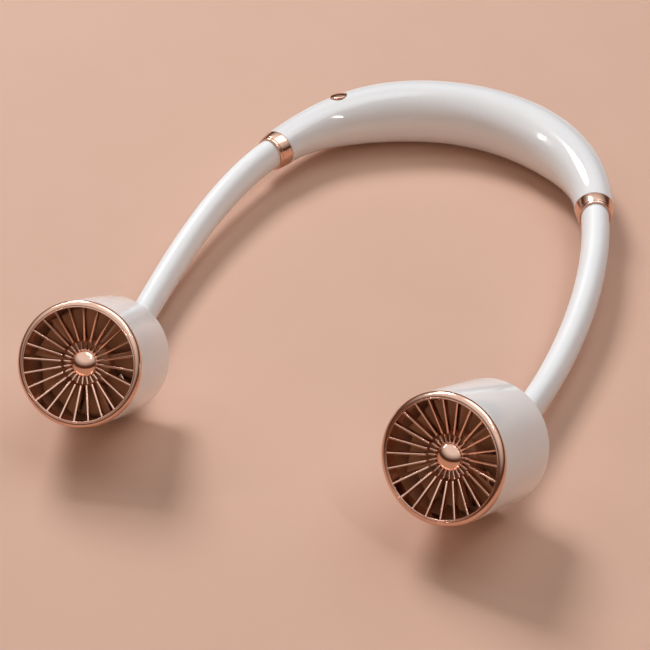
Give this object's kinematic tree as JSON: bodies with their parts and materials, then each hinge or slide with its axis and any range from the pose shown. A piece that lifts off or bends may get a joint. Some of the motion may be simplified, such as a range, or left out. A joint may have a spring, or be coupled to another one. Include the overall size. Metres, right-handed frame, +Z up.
{
  "type": "neck fan",
  "caption": "Wearable neck fan: a white tubular neck band with flexible arms, each ending in a drum-shaped fan head with a plated radial-spoke grille and an impeller inside.",
  "frame": {"origin": "on the table, in the middle of the fan's width and length", "axes": "+X to the wearer's right arm of the fan seen from behind the band, +Y from the fan heads to the back of the neck, +Z up"},
  "size_m": [0.2105, 0.296, 0.064],
  "materials": {
    "white": "glossy moulded ABS",
    "white_skin": "smooth silicone sleeve",
    "rose_gold": "polished copper-pink plating on ABS",
    "brown": "glossy dark brown moulding",
    "steel": "plain steel",
    "cell_wrap": "shrink-wrapped lithium cell",
    "board": "green solder mask",
    "black": "moulded plastic",
    "wire": "cable jacket",
    "bronze": "sintered bronze",
    "magnet": "bonded magnet",
    "copper": "copper winding on steel"
  },
  "bodies": {
    "neckband": {"band_upper_shell": "white", "band_lower_shell": "white", "band_screws": "steel", "battery_cells": "cell_wrap", "control_board": "board", "push_switch": "black", "charging_socket": "steel", "wire_harness": "wire", "left_collar": "rose_gold", "right_collar": "rose_gold"},
    "power_button": {"power_button": "rose_gold", "switch_plunger": "black"},
    "left_arm": {"left_arm_sleeve": "white_skin", "left_arm_core": "steel", "left_motor_lead": "wire"},
    "left_head": {"left_drum_shell": "white", "left_rear_cover": "white", "left_cover_screws": "steel", "left_front_grille": "rose_gold", "left_hub_cap": "rose_gold", "left_motor_can": "steel", "left_motor_end_cap": "black", "left_front_bush": "bronze", "left_rear_bush": "bronze", "left_motor_magnet": "magnet", "left_motor_mount": "brown"},
    "left_rotor": {"left_impeller": "brown", "left_motor_shaft": "steel", "left_motor_armature": "copper"},
    "right_arm": {"right_arm_sleeve": "white_skin", "right_arm_core": "steel", "right_motor_lead": "wire"},
    "right_head": {"right_drum_shell": "white", "right_rear_cover": "white", "right_cover_screws": "steel", "right_front_grille": "rose_gold", "right_hub_cap": "rose_gold", "right_motor_can": "steel", "right_motor_end_cap": "black", "right_front_bush": "bronze", "right_rear_bush": "bronze", "right_motor_magnet": "magnet", "right_motor_mount": "brown"},
    "right_rotor": {"right_impeller": "brown", "right_motor_shaft": "steel", "right_motor_armature": "copper"}
  },
  "joints": [
    {"name": "left_arm_swing", "type": "hinge", "parent": "neckband", "child": "left_arm", "pos_m": [-0.08772, 0.02691, 0.01362], "axis": [0, 0, -1], "range_deg": [-10, 25], "deforming": ["left_arm_sleeve", "left_arm_core", "left_motor_lead"]},
    {"name": "left_head_nod", "type": "hinge", "parent": "left_arm", "child": "left_head", "pos_m": [-0.08321, -0.0841, 0.01321], "axis": [-0.9866, -0.1633, 0], "range_deg": [0, 40], "deforming": ["left_arm_sleeve", "left_arm_core", "left_motor_lead"]},
    {"name": "left_rotor_spin", "type": "hinge", "parent": "left_head", "child": "left_rotor", "pos_m": [-0.07791, -0.11695, 0.0322], "axis": [0.1346, -0.8131, 0.5664], "continuous": true},
    {"name": "right_arm_swing", "type": "hinge", "parent": "neckband", "child": "right_arm", "pos_m": [0.0889, 0.02519, 0.01367], "axis": [0, 0, 1], "range_deg": [-10, 25], "deforming": ["right_arm_sleeve", "right_arm_core", "right_motor_lead"]},
    {"name": "right_head_nod", "type": "hinge", "parent": "right_arm", "child": "right_head", "pos_m": [0.08439, -0.08153, 0.01436], "axis": [-0.977, 0.213, 0], "range_deg": [0, 40], "deforming": ["right_arm_sleeve", "right_arm_core", "right_motor_lead"]},
    {"name": "right_rotor_spin", "type": "hinge", "parent": "right_head", "child": "right_rotor", "pos_m": [0.07678, -0.11764, 0.03171], "axis": [-0.187, -0.8578, 0.4787], "continuous": true},
    {"name": "power_button_press", "type": "slide", "parent": "neckband", "child": "power_button", "axis": [0.1726, -0.1695, -0.9703], "range_m": [0, 0.0006], "stiffness_N_per_m": 2000, "springref_m": -0.0003}
  ]
}
